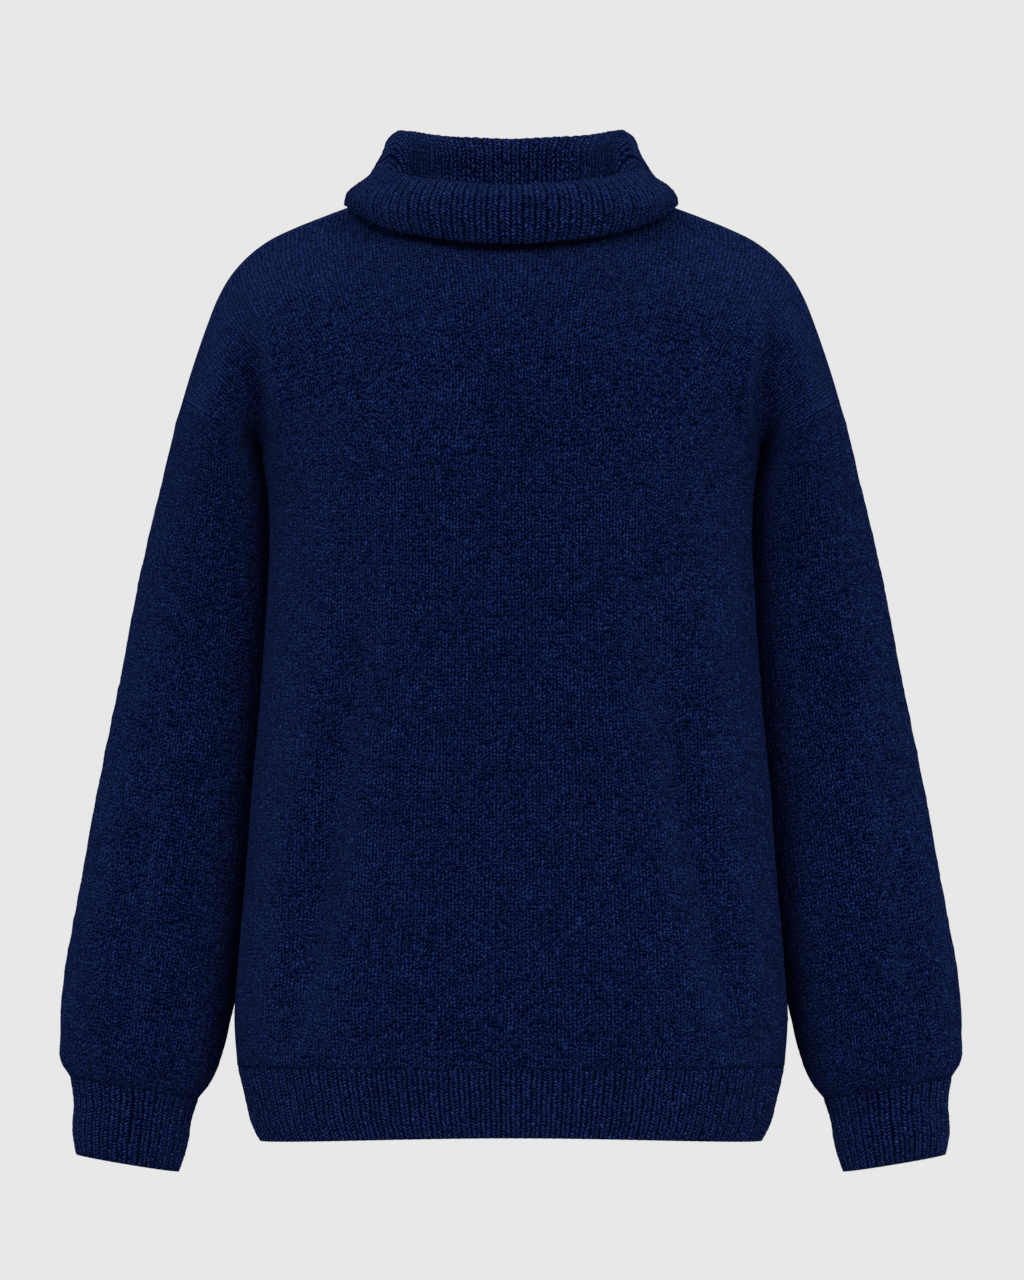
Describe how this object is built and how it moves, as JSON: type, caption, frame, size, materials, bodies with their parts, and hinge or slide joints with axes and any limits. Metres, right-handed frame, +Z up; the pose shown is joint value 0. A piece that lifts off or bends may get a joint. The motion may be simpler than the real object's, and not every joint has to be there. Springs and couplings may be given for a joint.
{
  "type": "high neck sweater",
  "caption": "Knitted pullover filled out as worn, with drop shoulders, long sleeves, ribbed hem and cuffs, and a high ribbed collar that is turned down.",
  "frame": {"origin": "midway between the two shoulders at the neck's foot, where the wearer's neck and shoulders hold the garment up", "axes": "+Z up towards the collar, -Y out of the front of the garment, +X towards the wearer's left sleeve"},
  "size_m": [0.6336, 0.2712, 0.7307],
  "materials": {
    "body_knit": "matte heathered navy stockinette with a light fuzz",
    "rib_knit": "matte heathered navy one-by-one rib"
  },
  "bodies": {
    "root": {"front_panel": "body_knit", "back_panel": "body_knit", "left_sleeve": "body_knit", "right_sleeve": "body_knit", "front_hem_rib": "rib_knit", "back_hem_rib": "rib_knit", "left_cuff": "rib_knit", "right_cuff": "rib_knit", "collar": "rib_knit"}
  },
  "joints": []
}
